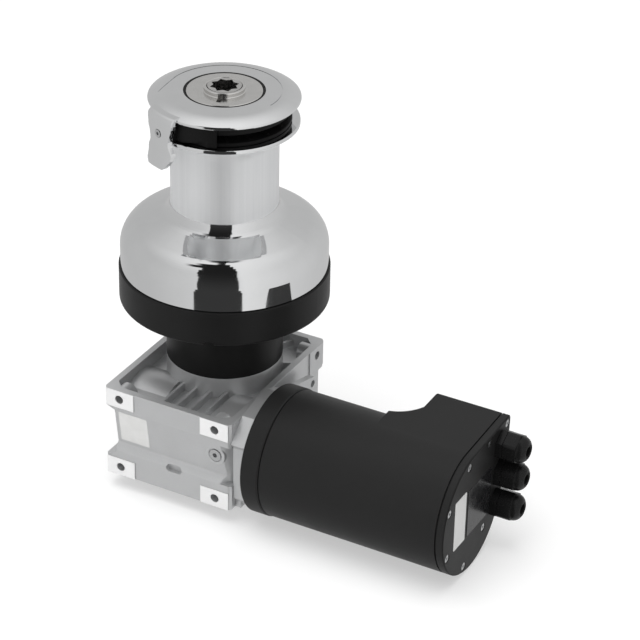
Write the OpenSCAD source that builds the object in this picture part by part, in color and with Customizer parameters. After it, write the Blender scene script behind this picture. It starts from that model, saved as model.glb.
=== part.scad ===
// Electric self-tailing deck winch with a worm gearbox and motor below deck.
// Millimetres. The origin is the centre of the underside of the winch base,
// where it lies on the deck. +Z is up the winch axis, +X runs along the motor.

/* [Drum] */
// Radius of the barrel that the rope wraps round
barrel_r = 46.5; // [45:0.5:48]
// Radius of the polished skirt at the foot of the drum
skirt_r = 90.4; // [88:0.2:96]
// Radius of the bend between the skirt's side and its shoulder
skirt_bend_r = 25; // [18:1:28]
// Height above the deck where the skirt's side starts to bend inwards
skirt_bend_z = 51; // [48:0.2:54]
// Slope of the skirt's shoulder in degrees
shoulder_slope = 20; // [18:1:28]
// Radius of the fillet between the shoulder and the barrel
foot_fillet_r = 13; // [6:1:15]
// Thickness of the skirt's wall
skirt_wall = 4; // [3:0.5:5]
// Height of the underside of the drum's top lip above the deck
lip_z = 167; // [164:1:170]
// How far the drum's top lip stands out past the rope jaws
lip_over = 7; // [5.5:0.5:8]
// Thickness of the drum's top lip
lip_t = 3; // [2:0.5:4]

/* [Self-tailing crown] */
// Outer radius of the two rope jaws
jaw_r = 57; // [55:0.5:58]
// Width of the rope groove between the jaws at their rim
jaw_gap = 7.2; // [6:0.2:8]
// How far the lower jaw is pushed down by a thick rope
jaw_travel = 2; // [1:0.25:2.25]
// How far the crown disc stands out past the rope jaws
crown_over = 7.6; // [5.6:0.1:8]
// Thickness of the crown disc at its middle
crown_t = 7.3; // [6.5:0.1:9]
// Thickness of the feeder arm
arm_t = 4.6; // [3.5:0.1:5.5]
// Width of the feeder arm at its waist
arm_waist_w = 23.5; // [20:0.5:28]
// Height of the lower end of the feeder arm above the deck
arm_foot_z = 145.2; // [140:0.2:150]
// Direction of the feeder arm around the winch in degrees
arm_angle = -111.5; // [-130:0.5:-90]
// Radius of the top cap
cap_r = 32.6; // [30:0.2:34]
// Width across flats of each square of the eight-point handle socket
socket_af = 17.8; // [16:0.1:18]
// Depth of the handle socket
socket_depth = 25; // [18:1:30]

/* [Drive train] */
// Module of the winch gears
gear_m = 2; // [1.9:0.05:2.05]
// Teeth on the pinion of the main shaft
pinion_teeth = 20; // [20:2:20]
// Teeth on each idler gear
idler_teeth = 16; // [16:2:16]
// Face width of the winch gears
gear_w = 14; // [10:1:14]
// Radius of the main shaft
shaft_r = 12.5; // [11.5:0.1:12.8]
// Radius of the drum's bearing bore
bearing_bore_r = 40.5; // [40:0.1:41]
// Radius of the centre stem
stem_r = 31; // [30:0.2:31.4]
// Rollers in each drum bearing
roller_count = 12; // [8:1:14]
// Module of the worm and worm wheel
worm_m = 2; // [1.9:0.05:2.05]
// Teeth on the worm wheel
wheel_teeth = 38; // [38:1:38]
// Pitch radius of the worm
worm_pitch_r = 12; // [11.5:0.1:12.5]

/* [Base and collar] */
// Height of the black base ring
base_h = 32; // [28:1:32]
// How far the black base ring stands out past the drum's skirt
base_step = 1.6; // [-1:0.2:3]
// Radius of the bolt circle that holds the winch on the deck
deck_bolt_r = 74; // [72:0.5:76]
// Radius of each deck bolt hole
deck_hole_r = 4.25; // [3.5:0.25:5.5]
// Number of deck bolt holes
deck_bolts = 6; // [4:1:8]
// Radius of the collar that passes through the deck
collar_r = 51.5; // [50:0.5:53]
// Length of the collar between the deck face and the gearbox
collar_h = 57; // [40:1:80]
// How far the collar is let into the base ring above it
collar_let_in = 1.5; // [0.5:0.5:3]

/* [Gearbox] */
// Width of the gearbox along the motor axis
box_w = 127; // [122:1:134]
// Distance from the winch axis to the front of the gearbox
box_front = 98; // [97:0.5:102]
// Distance from the winch axis to the back of the gearbox
box_back = 68.5; // [64:0.5:72]
// Height of the gearbox between its two rim faces
box_h = 87; // [84:1:92]
// How far each hub face stands out past the rim face
hub_rise = 6.8; // [5:0.2:8]
// Depth of the ribbed trays below the rim faces
tray_depth = 13; // [10:0.5:14]
// Wall of the rim round each tray
rim_wall = 6; // [5:0.5:7]
// Distance between the foot holes along the motor axis
foot_pitch_x = 96; // [92:1:98]
// Distance between the foot holes up the gearbox
foot_pitch_z = 70; // [67:0.5:71]
// Radius of each threaded foot hole
foot_hole_r = 4; // [3.2:0.2:4.4]

/* [Motor] */
// Outer radius of the motor tube
motor_r = 56.8; // [55:0.2:58]
// Wall of the motor tube
motor_wall = 3.5; // [3:0.25:4]
// Thickness of the adapter between the gearbox and the motor
adapter_t = 14.5; // [13:0.5:18]
// Length of the motor from its front flange to its end face
motor_len = 192.8; // [188:0.2:200]
// Width of the motor's front flange ring
flange_w = 17; // [14:1:20]
// Length of the control housing at the end of the motor
control_len = 88; // [84:1:92]
// Thickness of the end cover
cover_t = 8; // [6:0.5:9]
// Radius of the cable bore in each gland seal
cable_r = 4.5; // [3:0.25:5.5]
// Width across flats of each cable gland
gland_af = 24; // [22:0.5:25]
// Distance between neighbouring cable glands
gland_pitch = 28; // [27.5:0.5:29]
// Length of the hexagon of each cable gland's cap
gland_hex_h = 12; // [8:0.5:14]

/* [Hidden] */
$fn = 96;
fine = 0.06;
seat = 0.05;
play = 0.3;
skin = 0.01;

// Colours
polished = [0.86, 0.87, 0.88];
brushed = [0.80, 0.81, 0.82];
nickel = [0.70, 0.67, 0.63];
cast = [0.74, 0.75, 0.76];
black = [0.09, 0.09, 0.10];
rubber = [0.05, 0.05, 0.05];
steel = [0.60, 0.61, 0.63];
bronze = [0.72, 0.53, 0.28];
copper = [0.72, 0.40, 0.22];
board_green = [0.08, 0.30, 0.18];

// Heights of the winch
skirt_gap = 0.7;
skirt_z = base_h + skirt_gap;
plate_t = 8;
stem_foot_t = 6;
stem_foot_z = plate_t + stem_foot_t;
gear_z = stem_foot_z + 24;
gear_top = gear_z + gear_w;
bridge_z = gear_top + 4;
bridge_t = 5;
washer_t = 2.8;
drum_z = bridge_z + bridge_t + washer_t + 0.2;
lip_top = lip_z + lip_t;
lip_r = jaw_r + lip_over;
crown_r = jaw_r + crown_over;
base_r = skirt_r + base_step;
pocket_z = lip_top - 2.2;
spring_floor_z = lip_z - 5;
jaw_seat_w = 7;
spring_recess_r = jaw_r - jaw_seat_w;
jaw_floor = pocket_z + jaw_travel + 0.3;
lower_rim_top = jaw_floor + 3.4;
upper_rim_z = lower_rim_top + jaw_gap;
jaw_slope_h = 1.6;
neck_r = stem_r + 6;
neck_wall = 4.4;
jaw_bore = neck_r + 1.5;
upper_top = upper_rim_z + 7.1;
crown_z = upper_top + 0.5;
crown_top = crown_z + crown_t;
cap_t = 3.2;
crown_recess_z = crown_top - cap_t;
stem_top = crown_recess_z - 1.8;
neck_top = upper_rim_z - jaw_slope_h + 1.6;
boss_h = 4.2;
shaft_top = crown_top + boss_h;

// Gears of the winch
gear_angle = 20;
ring_teeth = pinion_teeth + 2 * idler_teeth;
idler_at = gear_m * (pinion_teeth + idler_teeth) / 2;
ring_pitch_r = gear_m * ring_teeth / 2;
ring_seat_r = ring_pitch_r + 1.25 * gear_m + 5.5;
ring_hold_wall = 4;
idler_pin_r = 5;
idler_side = [1, -1];

// Collar and gearbox
hub_z = -collar_h;
rim_z = hub_z - hub_rise;
box_mid = rim_z - box_h / 2;
box_low = rim_z - box_h;
hub_low = box_low - hub_rise;
worm_y = -(worm_pitch_r + worm_m * wheel_teeth / 2);
worm_lead = PI * worm_m;
lead_angle = atan(worm_m / (2 * worm_pitch_r));
hub_bolt_r = 43.5;
hub_bolts = 4;
bolt_r = 4;
wheel_hub_r = 20;
wheel_bearing_r = 34;
wheel_bearing_w = 12;
clutch_r = 17.4;
clutch_roller_r = 1.2;
wheel_w = 18;
wheel_tip_r = worm_m * (wheel_teeth / 2 + 1);
worm_tip_r = worm_pitch_r + worm_m;
worm_root_r = worm_pitch_r - 1.2 * worm_m;
worm_len = 36;
worm_bearing_r = 20;
worm_bearing_w = 12;
worm_journal_r = 10;
worm_bearing_x = box_w / 2 - 24.5;
barrel_cast_r = 36;

// Motor
motor_z = box_mid;
motor_x = box_w / 2 + adapter_t;
motor_end = motor_x + motor_len;
tube_x0 = motor_x + flange_w + 0.8;
tube_x1 = motor_end - cover_t;
motor_in_r = motor_r - motor_wall;
shaft_end_r = 7;
stator_x0 = motor_x + 34;
winding_over = 7;
rear_plate_x = motor_end - 64.8;
stator_len = rear_plate_x - 22 - stator_x0;
gland_y = 50;
gland_top_z = 39.5;

// Point lists and small shapes

function arc(c, r, a0, a1, n = 12) =
  [for (i = [0:n]) let (a = a0 + (a1 - a0) * i / n) c + r * [cos(a), sin(a)]];

function inv(a) = tan(a) * 180 / PI - a;

function flank_angle(m, teeth, r, thin) =
  let (base = m * teeth / 2 * cos(gear_angle), rr = max(r, base * 1.0001))
  90 / teeth - thin * 180 / (PI * m * teeth / 2) + inv(gear_angle) - inv(acos(base / rr));

function tooth_points(m, teeth, tip, root, thin) =
  let (base = m * teeth / 2 * cos(gear_angle), r0 = max(root, base), n = 4,
       rise = [for (i = [0:n]) r0 + (tip - r0) * i / n])
  concat(
    [[root, -flank_angle(m, teeth, r0, thin)]],
    [for (r = rise) [r, -flank_angle(m, teeth, r, thin)]],
    [for (i = [0:n]) [rise[n - i], flank_angle(m, teeth, rise[n - i], thin)]],
    [[root, flank_angle(m, teeth, r0, thin)]]);

module gear_2d(m, teeth, tip, root, thin) {
  tooth = tooth_points(m, teeth, tip, root, thin);
  polygon([for (k = [0:teeth - 1]) for (p = tooth)
    p[0] * [cos(p[1] + k * 360 / teeth), sin(p[1] + k * 360 / teeth)]]);
}

module ring(outer, inner, z0, z1) {
  translate([0, 0, z0]) difference() {
    cylinder(r = outer, h = z1 - z0);
    translate([0, 0, -1]) cylinder(r = inner, h = z1 - z0 + 2);
  }
}

module along_x() {
  rotate([0, 90, 0]) rotate([0, 0, 90]) children();
}

module ring_x(outer, inner, x0, x1) {
  along_x() ring(outer, inner, x0, x1);
}

module rod_x(r, x0, x1) {
  translate([x0, 0, 0]) rotate([0, 90, 0]) cylinder(r = r, h = x1 - x0);
}

module at_motor() {
  translate([0, worm_y, motor_z]) children();
}

module around(n, start = 0) {
  for (i = [0:n - 1]) rotate([0, 0, start + i * 360 / n]) children();
}

module hex(af, h) {
  cylinder(r = af / 2 / cos(30), h = h, $fn = 6);
}

// A socket head screw: the shank goes down from z = 0, the head stands up
module socket_screw(r, len) {
  difference() {
    union() {
      translate([0, 0, -len]) cylinder(r = r, h = len + skin);
      cylinder(r = 1.6 * r, h = 1.9 * r);
    }
    translate([0, 0, 0.9 * r]) hex(1.6 * r, 1.9 * r);
  }
}

// Drum

bend_c = [skirt_r - skirt_bend_r, skirt_bend_z];
slope_n = [sin(shoulder_slope), cos(shoulder_slope)];
shoulder_start = bend_c + skirt_bend_r * slope_n;
fillet_r_at = barrel_r + foot_fillet_r;
fillet_run = (shoulder_start[0] + foot_fillet_r * slope_n[0] - fillet_r_at) / cos(shoulder_slope);
fillet_z = shoulder_start[1] + foot_fillet_r * slope_n[1] + fillet_run * sin(shoulder_slope);
fillet_c = [fillet_r_at, fillet_z];
bearing_top = spring_floor_z - 9;
rim_in_r = ring_seat_r + ring_hold_wall;
flare_r = lip_r - barrel_r;
flare_c = [lip_r, lip_z - flare_r];

function under_bell(r) = shoulder_start[1] - skirt_wall / cos(shoulder_slope)
  + (shoulder_start[0] - r) * tan(shoulder_slope);

module drum() {
  seat_r = ring_seat_r + seat;
  lip_in_r = jaw_r + 0.35;
  color(polished) rotate_extrude($fn = 180) polygon(concat(
    [[skirt_r - skirt_wall, skirt_z], [skirt_r - 0.4, skirt_z], [skirt_r, skirt_z + 0.4]],
    arc(bend_c, skirt_bend_r, 0, 90 - shoulder_slope, 16),
    arc(fillet_c, foot_fillet_r, 270 - shoulder_slope, 180, 8),
    arc(flare_c, flare_r, 180, 90, 14),
    arc([lip_r - 0.8, lip_top - 0.8], 0.8, 0, 90, 4),
    [[lip_in_r, lip_top], [lip_in_r, pocket_z], [spring_recess_r, pocket_z],
     [spring_recess_r, spring_floor_z], [neck_r, spring_floor_z],
     [neck_r, neck_top], [neck_r - neck_wall, neck_top], [neck_r - neck_wall, bearing_top],
     [bearing_bore_r, bearing_top], [bearing_bore_r, drum_z],
     [bearing_bore_r + 5, drum_z], [bearing_bore_r + 6, drum_z + 8],
     [ring_seat_r - 6, drum_z + 5], [ring_seat_r - 5, drum_z],
     [ring_seat_r - 4, gear_top + 0.2], [seat_r, gear_top + 0.2], [seat_r, gear_z - 1.5],
     [rim_in_r, gear_z - 1.5], [rim_in_r, under_bell(rim_in_r)]],
    arc(bend_c, skirt_bend_r - skirt_wall, 90 - shoulder_slope, 0, 12)));
}

module drum_ring_gear() {
  color(steel)
  translate([0, 0, gear_z]) linear_extrude(gear_w) difference() {
    circle(r = ring_seat_r, $fn = 180);
    rotate(180 / ring_teeth)
      gear_2d(gear_m, ring_teeth, ring_pitch_r + 1.25 * gear_m, ring_pitch_r - 0.9 * gear_m,
              -0.12);
  }
}

// Rope jaws and the spring under the lower one

module jaw_ribs(z_in, z_out, up) {
  rise = 0.8;
  run = jaw_r - 3 - (jaw_bore + 3);
  lean = atan((z_out - z_in) * run / (jaw_r - jaw_bore) / run);
  around(18)
    translate([jaw_bore + 3, 0, z_in + (z_out - z_in) * 3 / (jaw_r - jaw_bore)])
      rotate([0, -lean, 0]) rotate([0, 0, 14])
        translate([0, -0.9, up > 0 ? -1 : -rise]) cube([run, 1.8, 1 + rise]);
}

module lower_jaw() {
  z_hub = lower_rim_top + jaw_slope_h;
  color(black) union() {
    rotate_extrude($fn = 120) polygon([
      [neck_r + play, jaw_floor], [jaw_r - 0.4, jaw_floor], [jaw_r, jaw_floor + 0.4],
      [jaw_r, lower_rim_top - 0.4], [jaw_r - 0.4, lower_rim_top], [jaw_bore, z_hub],
      [neck_r + play, z_hub]]);
    jaw_ribs(z_hub, lower_rim_top, 1);
  }
}

module upper_jaw() {
  z_hub = upper_rim_z - jaw_slope_h;
  color(black) difference() {
    union() {
      rotate_extrude($fn = 120) polygon([
        [neck_r - neck_wall + 0.4, neck_top], [neck_r + seat, neck_top],
        [neck_r + seat, z_hub], [jaw_bore, z_hub], [jaw_r - 0.4, upper_rim_z],
        [jaw_r, upper_rim_z + 0.4], [jaw_r, upper_top - 0.4], [jaw_r - 0.4, upper_top],
        [neck_r - neck_wall + 0.4, upper_top]]);
      jaw_ribs(z_hub, upper_rim_z, -1);
    }
    jaw_screw_places() {
      translate([0, 0, -12]) cylinder(r = 1.6, h = 20);
      cylinder(r = 2.9, h = 10);
    }
  }
}

jaw_screw_seat = upper_top - 2.4;

module jaw_screw_places() {
  around(6, 15) translate([neck_r - neck_wall / 2 - 0.15, 0, jaw_screw_seat]) children();
}

module jaw_screws() {
  color(steel) jaw_screw_places() difference() {
    union() {
      translate([0, 0, neck_top - jaw_screw_seat]) cylinder(r = 1.5, h = jaw_screw_seat - neck_top + 1);
      cylinder(r = 2.7, h = 1.8);
    }
    translate([0, 0, 0.8]) hex(2.4, 2);
  }
}

spring_mid_r = (neck_r + spring_recess_r) / 2;
spring_w = 5;
spring_t = 0.8;
spring_waves = 6;
spring_steps = 48;

// A wavy ring of flat spring steel between the drum's pocket and the lower jaw
module jaw_spring() {
  free = jaw_floor - spring_floor_z - 2 * skin;
  lift = (free - spring_t) / 2;
  pts = [for (i = [0:spring_steps - 1]) let (a = i * 360 / spring_steps)
    for (k = [0:3]) let (
      r = spring_mid_r + (k == 0 || k == 3 ? -1 : 1) * spring_w / 2,
      z = spring_floor_z + skin + lift * (1 + sin(a * spring_waves)) + (k < 2 ? 0 : spring_t))
      [r * cos(a), r * sin(a), z]];
  faces = [for (i = [0:spring_steps - 1]) let (j = (i + 1) % spring_steps)
    for (k = [0:3]) let (l = (k + 1) % 4) each [
      [4 * i + k, 4 * i + l, 4 * j + l], [4 * i + k, 4 * j + l, 4 * j + k]]];
  color(steel) polyhedron(pts, faces);
}

// Crown disc with its feeder arm

crown_edge_r = 1.6;
crown_edge_a = 60;
crown_run = 14.6;
groove_r = crown_r - 16.1;
crown_nose_z = crown_z + crown_edge_r;
crown_bore = stem_r - 4 + seat;
seal_r = cap_r + 2.1;
arm_in_r = lip_r + 1.1;
arm_bend_r = 4.5;
arm_out_r = arm_in_r + arm_t;

// A thin rounded edge, then a shoulder that flattens out towards the middle
module crown_profile() {
  edge_c = [crown_r - crown_edge_r, crown_nose_z];
  slope_start = edge_c + crown_edge_r * [cos(crown_edge_a), sin(crown_edge_a)];
  polygon(concat(
    [[crown_bore, crown_z]],
    arc(edge_c, crown_edge_r, -90, crown_edge_a, 8),
    [for (i = [1:9]) let (t = i / 9)
      [slope_start[0] - crown_run * t, slope_start[1] + (crown_top - slope_start[1]) * t * (2 - t)]],
    [[seal_r, crown_top], [seal_r, crown_recess_z], [crown_bore, crown_recess_z]]));
}

// Radial section of the arm: out over the crown's edge, down, and a lip at the foot
module arm_profile() {
  polygon(concat(
    [[crown_r - 8, crown_z + 0.2], [crown_r - 8, crown_top - 2.4]],
    arc([arm_out_r - arm_bend_r, crown_nose_z - 1.4], arm_bend_r, 75, 0, 6),
    arc([arm_out_r + 14, arm_foot_z + 14], 14, 180, 215, 4),
    arc([arm_out_r + 0.9, arm_foot_z + 3], 3, -20, -140, 5),
    arc([arm_in_r + 14, arm_foot_z + 16], 14, 205, 180, 4),
    [[arm_in_r, crown_z + 0.2]]));
}

// Outline of the arm seen from outside: wide at the crown, waisted, round at the foot
module arm_outline() {
  foot_w = arm_waist_w + 7;
  top_w = arm_waist_w + 8;
  waist_z = arm_foot_z + 23;
  high = crown_top + 2;
  polygon(concat(
    [[-top_w / 2, high], [-top_w / 2, crown_z - 2]],
    [for (i = [1:6]) let (t = i / 6) [-(top_w + (arm_waist_w - top_w) * (1 - cos(180 * t)) / 2) / 2,
      crown_z - 2 + (waist_z - crown_z + 2) * t]],
    [for (i = [1:4]) let (t = i / 4) [-(arm_waist_w + (foot_w - arm_waist_w) * (1 - cos(180 * t)) / 2) / 2,
      waist_z - 9 * t]],
    [for (i = [1:9]) let (a = 180 + i * 18) [foot_w / 2 * cos(a), waist_z - 9
      + (waist_z - 9 - arm_foot_z + 1.5) * sin(a)]],
    [for (i = [0:3]) let (t = i / 4) [(foot_w + (arm_waist_w - foot_w) * (1 - cos(180 * t)) / 2) / 2,
      waist_z - 9 + 9 * t]],
    [for (i = [0:6]) let (t = i / 6) [(arm_waist_w + (top_w - arm_waist_w) * (1 - cos(180 * t)) / 2) / 2,
      waist_z + (crown_z - 2 - waist_z) * t]],
    [[top_w / 2, high]]));
}

module feeder_arm() {
  rotate([0, 0, arm_angle]) intersection() {
    rotate([0, 0, -20]) rotate_extrude(angle = 40, $fn = 180) arm_profile();
    rotate([90, 0, 90]) linear_extrude(crown_r + 20) arm_outline();
  }
}

arm_screw_z = lip_z + 9;

module self_tailing_arm() {
  groove_w = 0.8;
  color(polished) difference() {
    union() {
      rotate_extrude($fn = 180) crown_profile();
      feeder_arm();
    }
    rotate([0, 0, -8]) rotate_extrude(angle = 188, $fn = 180)
      translate([groove_r - groove_w / 2, crown_top - 1.2]) square([groove_w, 2]);
    translate([-groove_r, 0.6, crown_top - 1.2]) rotate([0, 0, 4.3])
      translate([-groove_w / 2, -31, 0]) cube([groove_w, 31, 2]);
    arm_screw_place() {
      translate([0, 0, -12]) cylinder(r = 2.1, h = 30);
      translate([0, 0, -2]) cylinder(r = 3.9, h = 12);
    }
  }
}

module arm_screw_place() {
  rotate([0, 0, arm_angle]) translate([arm_out_r, 0, arm_screw_z]) rotate([0, 90, 0]) children();
}

module arm_screw() {
  color(steel) arm_screw_place() difference() {
    union() {
      translate([0, 0, -arm_t - 3.5]) cylinder(r = 2, h = arm_t + 3.5);
      translate([0, 0, -2]) cylinder(r = 3.6, h = 2.4);
    }
    translate([0, 0, -1.4]) hex(2.8, 3);
  }
}

// Guard round the jaws beside the arm, with a tongue that lifts the rope out of them
strip_in_r = jaw_r + 0.35;
strip_t = 3;
strip_out_r = strip_in_r + strip_t;
strip_foot_z = lip_top + 0.6;
strip_from = arm_angle + 7;
strip_sweep = 39;
strip_pad_h = 10;
tongue_reach = 9;

module rope_stripper() {
  tongue_z = lower_rim_top + 1.9;
  tongue_h = jaw_gap - 3.8;
  pad_t = arm_in_r - seat - strip_out_r + 0.4;
  color(black) difference() {
    union() {
      rotate([0, 0, strip_from]) rotate_extrude(angle = strip_sweep, $fn = 180)
        translate([strip_in_r, strip_foot_z]) square([strip_out_r - strip_in_r, crown_z - strip_foot_z]);
      rotate([0, 0, arm_angle - 5]) rotate_extrude(angle = 16, $fn = 180)
        translate([strip_out_r - 0.4, arm_screw_z - strip_pad_h / 2]) square([pad_t, strip_pad_h]);
      rotate([0, 0, strip_from + 1]) rotate_extrude(angle = 12, $fn = 180)
        polygon([[jaw_r - tongue_reach, tongue_z + 0.8], [strip_in_r + 1, tongue_z],
          [strip_in_r + 1, tongue_z + tongue_h], [jaw_r - tongue_reach, tongue_z + tongue_h - 0.8]]);
    }
    rotate([0, 0, strip_from + 8]) translate([strip_in_r - 2, 0, strip_foot_z - 0.4]) rotate([14, 0, 0])
      translate([0, 0, -12]) cube([12, 60, 12]);
    arm_screw_place() translate([0, 0, -12]) cylinder(r = 2.05, h = 12);
  }
}

// Top cap with its two spanner slots, and the ring that seals it

socket_r = socket_af / sqrt(2);
head_r = socket_r + 2;
boss_r = head_r + 3;

module top_cap() {
  slot_angle = 109;
  slot_w = 4;
  slot_len = 8;
  color(nickel) difference() {
    union() {
      rotate_extrude($fn = 150) polygon([
        [head_r + 0.35, stem_top - 12], [stem_r - 9.1, stem_top - 12], [stem_r - 9.1, stem_top + 0.1],
        [stem_r - 9.1, crown_recess_z + skin], [cap_r, crown_recess_z + skin],
        [cap_r, crown_top - 0.4], [cap_r - 0.6, crown_top + 0.2],
        [boss_r + 0.6, crown_top + 0.2], [boss_r, crown_top + 0.8],
        [boss_r, crown_top + boss_h - 0.6], [boss_r - 0.6, crown_top + boss_h],
        [head_r + 0.8, crown_top + boss_h], [head_r + 0.35, crown_top + boss_h - 0.6]]);
    }
    for (a = [slot_angle, slot_angle + 180]) rotate([0, 0, a])
      translate([boss_r - 0.2, -slot_w / 2, crown_top - 2.4]) cube([slot_len, slot_w, boss_h + 3]);
  }
}

module cap_seal_ring() {
  color(rubber) rotate_extrude($fn = 150) polygon([
    [cap_r + seat, crown_recess_z], [seal_r - seat, crown_recess_z],
    [seal_r - seat, crown_top - 0.3], [seal_r - 0.5, crown_top + 0.1],
    [cap_r + 0.5, crown_top + 0.1], [cap_r + seat, crown_top - 0.3]]);
}

// Main shaft with its eight-point handle socket

shaft_foot_z = box_mid - 8;
pinion_bore_r = shaft_r + seat;
key_w = 6;
key_h = 3;
head_skirt = 8;

// The star socket is a hardened head set on the shaft's end, so it is a solid of its own
module main_shaft() {
  socket_z = shaft_top - socket_depth;
  color(steel) difference() {
    translate([0, 0, shaft_foot_z]) cylinder(r = shaft_r, h = socket_z - shaft_foot_z);
    translate([shaft_r - key_h, -key_w / 2, gear_z]) cube([key_h + 1, key_w, gear_w]);
  }
  color(steel) difference() {
    translate([0, 0, socket_z - head_skirt]) cylinder(r = head_r, h = socket_depth + head_skirt);
    translate([0, 0, socket_z - head_skirt - 1]) cylinder(r = shaft_r + seat, h = head_skirt + 1);
    translate([0, 0, socket_z - 1]) for (a = [0, 45]) rotate([0, 0, a])
      translate([-socket_af / 2, -socket_af / 2, 0]) cube([socket_af, socket_af, socket_depth + 2]);
  }
}

module shaft_pinion() {
  color(steel) difference() {
    translate([0, 0, gear_z]) linear_extrude(gear_w)
      gear_2d(gear_m, pinion_teeth, gear_m * (pinion_teeth / 2 + 0.9),
              gear_m * (pinion_teeth / 2 - 1.25), 0.12);
    translate([0, 0, gear_z - 1]) cylinder(r = pinion_bore_r, h = gear_w + 2);
    translate([0, -key_w / 2 - seat, gear_z - 1])
      cube([shaft_r + key_h / 2 + seat, key_w + 2 * seat, gear_w + 2]);
  }
}

module pinion_key() {
  color(steel) translate([shaft_r - key_h + seat, -key_w / 2 + seat, gear_z + seat])
    cube([1.5 * key_h - seat, key_w - 2 * seat, gear_w - 2 * seat]);
}

module idler_gear(side) {
  color(steel) translate([side * idler_at, 0, gear_z]) difference() {
    linear_extrude(gear_w) rotate(180 / idler_teeth)
      gear_2d(gear_m, idler_teeth, gear_m * (idler_teeth / 2 + 0.9),
              gear_m * (idler_teeth / 2 - 1.25), 0.12);
    translate([0, 0, -1]) cylinder(r = idler_pin_r + fine, h = gear_w + 2);
  }
}

module idler_gear_left() {
  idler_gear(-1);
}

module idler_gear_right() {
  idler_gear(1);
}

module idler_pins() {
  color(steel) for (side = idler_side) translate([side * idler_at, 0, 0]) {
    translate([0, 0, plate_t - 3]) cylinder(r = idler_pin_r, h = bridge_z + bridge_t + 3 - plate_t);
    ring(idler_pin_r + 4, idler_pin_r - skin, stem_foot_z, gear_z - play);
  }
}

// Centre stem: foot, gear windows, bridge over the idlers, and the tube the drum turns on

stem_bore = shaft_r + 3.5;
stem_foot_r = 60;
window_r = gear_m * (idler_teeth / 2 + 1) + 0.9;
pinion_room = gear_m * (pinion_teeth / 2 + 1) + 2;

module centre_stem() {
  color(cast) difference() {
    union() {
      translate([0, 0, plate_t]) cylinder(r = stem_foot_r, h = stem_foot_t);
      translate([0, 0, plate_t]) cylinder(r = stem_r, h = crown_z - plate_t);
      translate([0, 0, crown_z - 1]) cylinder(r = stem_r - 4, h = stem_top - crown_z + 1);
      translate([0, 0, bridge_z]) cylinder(r = idler_at + idler_pin_r + 3, h = bridge_t);
    }
    translate([0, 0, plate_t - 1]) cylinder(r = pinion_room, h = bridge_z - plate_t + 1);
    translate([0, 0, 0]) cylinder(r = stem_bore, h = stem_top + 2);
    translate([0, 0, shaft_top - socket_depth - 10]) cylinder(r = head_r + 0.4, h = 60);
    translate([0, 0, stem_top - 12.1]) cylinder(r = stem_r - 9, h = 20);
    for (side = idler_side) translate([side * idler_at, 0, 0]) {
      translate([0, 0, gear_z - 3]) cylinder(r = window_r, h = bridge_z - gear_z + 3);
      cylinder(r = idler_pin_r + seat, h = bridge_z + 20);
    }
    for (side = idler_side) translate([side * idler_at, 0, stem_foot_z])
      cylinder(r = idler_pin_r + 4.4, h = gear_z - stem_foot_z);
    collar_bolt_places() cylinder(r = bolt_r + 0.3, h = 40);
  }
}

bush_len = 15;
bush_drop = 26;

module shaft_bush(z0) {
  color(bronze) ring(stem_bore - seat, shaft_r + fine, z0, z0 + bush_len);
}

module upper_shaft_bush() {
  shaft_bush(shaft_top - socket_depth - bush_drop);
}

module lower_shaft_bush() {
  shaft_bush(bridge_z + 1);
}

// Roller bearings of the drum

roller_r = (bearing_bore_r - stem_r) / 2 - fine;
roller_at = (bearing_bore_r + stem_r) / 2;
roller_len = 18;
cage_len = 24;
lower_cage_z = drum_z + 6;
upper_cage_z = bearing_top - cage_len - 1;

module bearing_cage(z0) {
  color(bronze) difference() {
    ring(roller_at + 2.4, roller_at - 2.4, z0, z0 + cage_len);
    around(roller_count) translate([roller_at, 0, z0 + (cage_len - roller_len) / 2 - 0.2])
      cylinder(r = roller_r + 0.25, h = roller_len + 0.4);
  }
}

module bearing_rollers(z0) {
  color(steel) around(roller_count)
    translate([roller_at, 0, z0 + (cage_len - roller_len) / 2]) cylinder(r = roller_r, h = roller_len, $fn = 48);
}

module upper_bearing_cage() {
  bearing_cage(upper_cage_z);
}

module upper_bearing_rollers() {
  bearing_rollers(upper_cage_z);
}

module lower_bearing_cage() {
  bearing_cage(lower_cage_z);
}

module lower_bearing_rollers() {
  bearing_rollers(lower_cage_z);
}

module thrust_washer() {
  color(black) ring(bearing_bore_r + 4.5, stem_r + play, bridge_z + bridge_t, bridge_z + bridge_t + washer_t);
}

// Base ring on the deck, and the collar below it

module collar_bolt_places() {
  around(hub_bolts, 45) translate([hub_bolt_r, 0, 0]) children();
}

collar_fit = 0.2;

module winch_base() {
  wall = 5;
  foot_edge_r = 2.5;
  notch_w = 9;
  notch_h = 3.5;
  notch_len = 12;
  color(black) difference() {
    rotate_extrude($fn = 180) polygon(concat(
      [[pinion_room, collar_let_in], [collar_r + collar_fit, collar_let_in],
       [collar_r + collar_fit, 0], [base_r - foot_edge_r, 0]],
      arc([base_r - foot_edge_r, foot_edge_r], foot_edge_r, -60, 0, 4),
      [[base_r, base_h - 0.8], [base_r - 0.8, base_h], [base_r - wall, base_h],
       [base_r - wall, plate_t + 2], [base_r - wall - 2, plate_t], [pinion_room, plate_t]]));
    around(deck_bolts, 30) translate([deck_bolt_r, 0, -1]) cylinder(r = deck_hole_r, h = plate_t + 2);
    collar_bolt_places() translate([0, 0, -1]) cylinder(r = bolt_r + 0.3, h = plate_t + 2);
    for (side = idler_side) translate([side * idler_at, 0, plate_t - 3 - seat])
      cylinder(r = idler_pin_r + seat, h = 10);
    for (a = [-68, 52, 172]) rotate([0, 0, a]) translate([base_r - notch_len, -notch_w / 2, -1])
      cube([notch_len + 1, notch_w, notch_h + 1]);
  }
}

module deck_collar() {
  color(black) difference() {
    ring(collar_r, wheel_bearing_r + 2, hub_z, collar_let_in);
    collar_bolt_places() translate([0, 0, hub_z - 1]) cylinder(r = bolt_r + 0.3, h = collar_h + 9);
  }
}

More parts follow.
